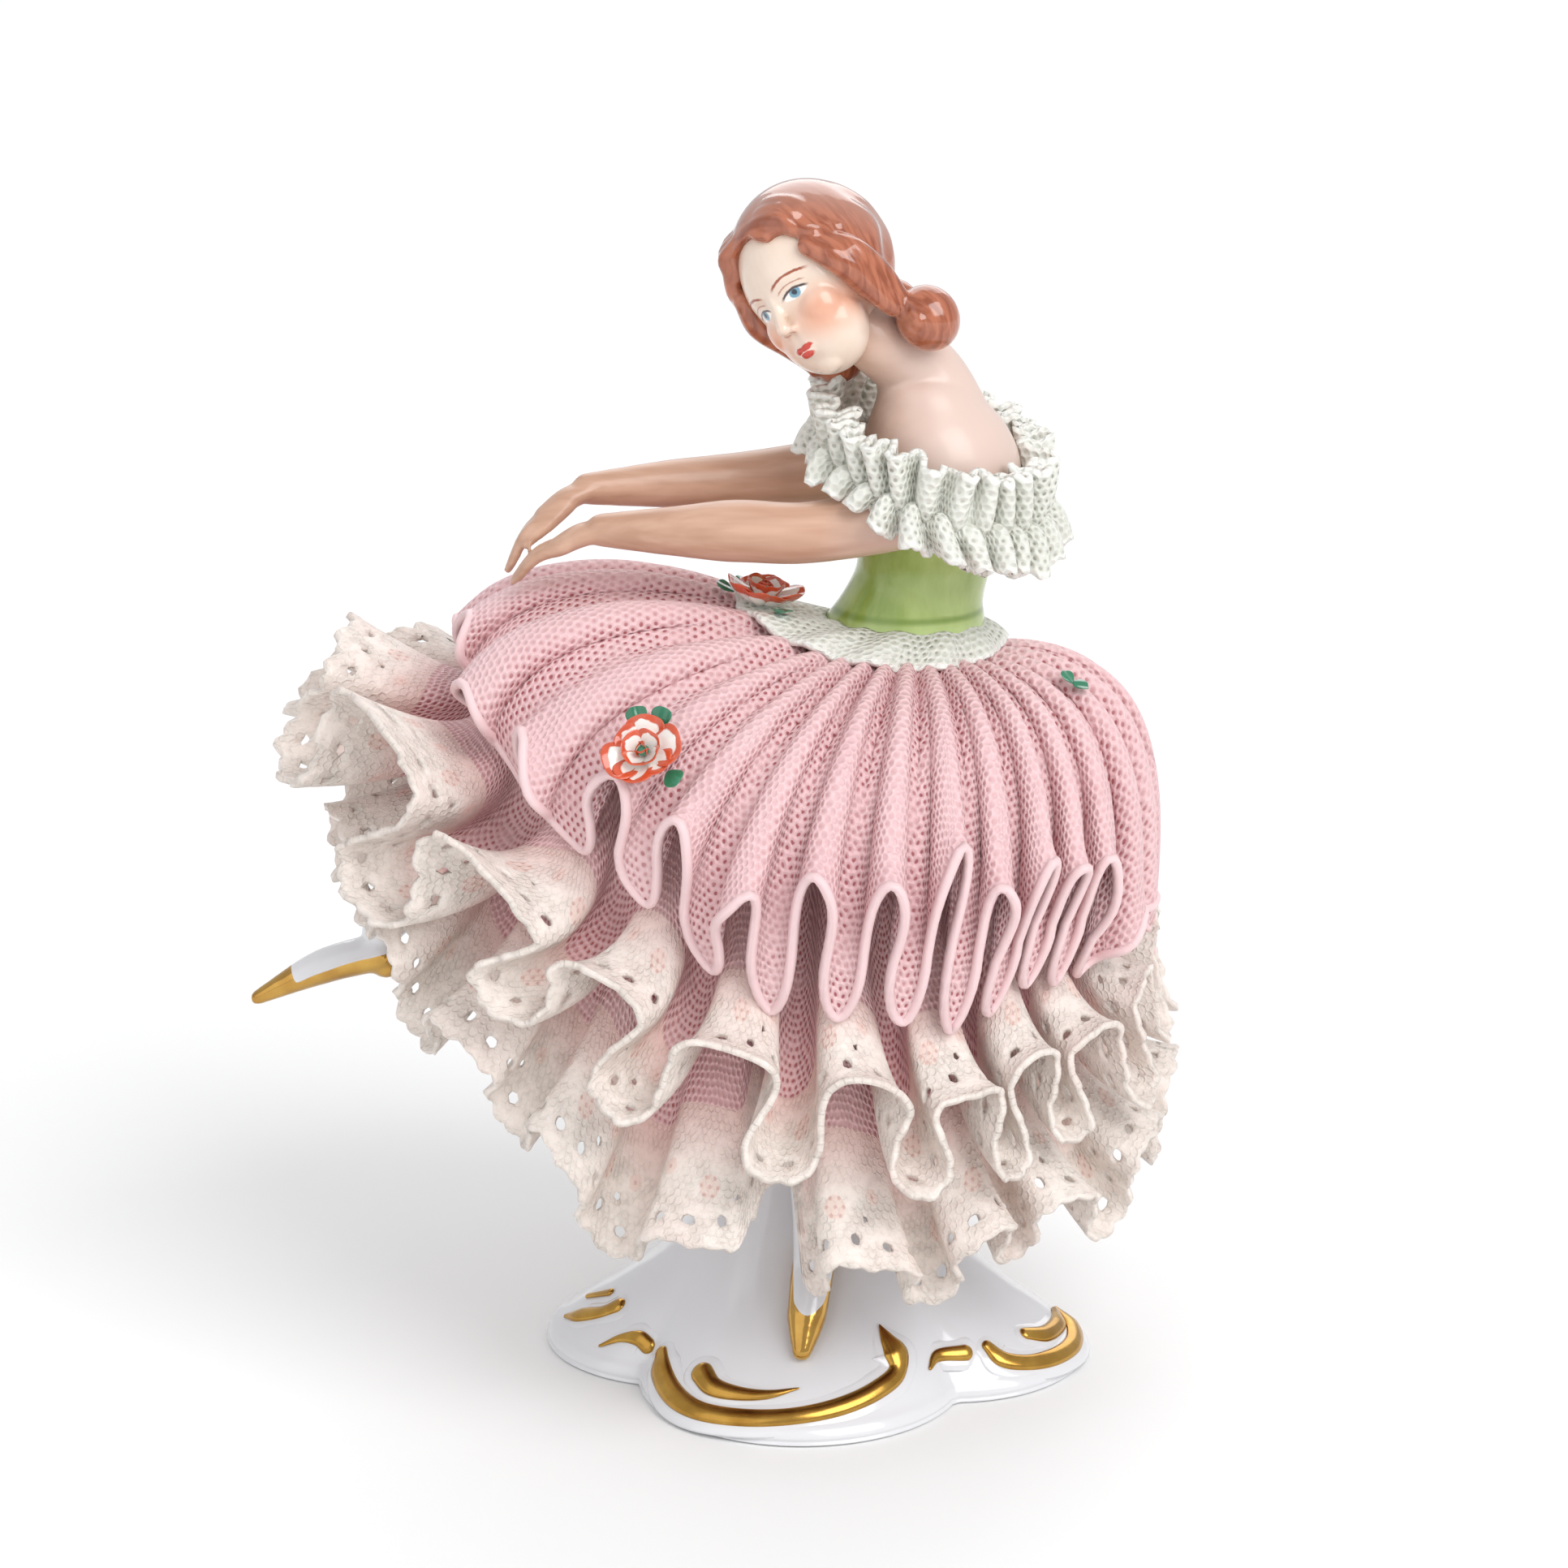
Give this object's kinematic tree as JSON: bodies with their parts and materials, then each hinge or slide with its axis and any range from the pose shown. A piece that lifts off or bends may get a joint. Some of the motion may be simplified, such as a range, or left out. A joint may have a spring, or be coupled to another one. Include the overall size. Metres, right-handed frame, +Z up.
{
  "type": "dresden lace figurine",
  "caption": "Porcelain lace figurine of a dancer in a layered flounced skirt who leans on her raised knee, on a scrolled white base.",
  "frame": {"origin": "centre of the base's flat underside", "axes": "+Z up; -Y is the side that is looked at; -X is where she faces and raises her leg"},
  "size_m": [0.0897, 0.0664, 0.115],
  "materials": {
    "glazed_white": "glossy clear glaze over white porcelain",
    "glazed_flesh": "glossy, painted flesh, hair, bodice and gold slippers",
    "pink_lace": "fired porcelain net, pink, satin",
    "edged_lace": "fired porcelain net, pink with a white eyelet edge, satin",
    "white_lace": "fired porcelain net, white, satin",
    "painted_rose": "glossy, painted orange-red and white with green leaves",
    "painted_leaf": "glossy green"
  },
  "bodies": {
    "root": {"plinth": "glazed_white", "figure": "glazed_flesh", "overskirt": "pink_lace", "upper_flounce": "edged_lace", "lower_flounce": "edged_lace", "waist_frill": "white_lace", "upper_shoulder_frill": "white_lace", "lower_shoulder_frill": "white_lace", "skirt_rose": "painted_rose", "waist_rose": "painted_rose", "side_leaves": "painted_leaf"}
  },
  "joints": []
}
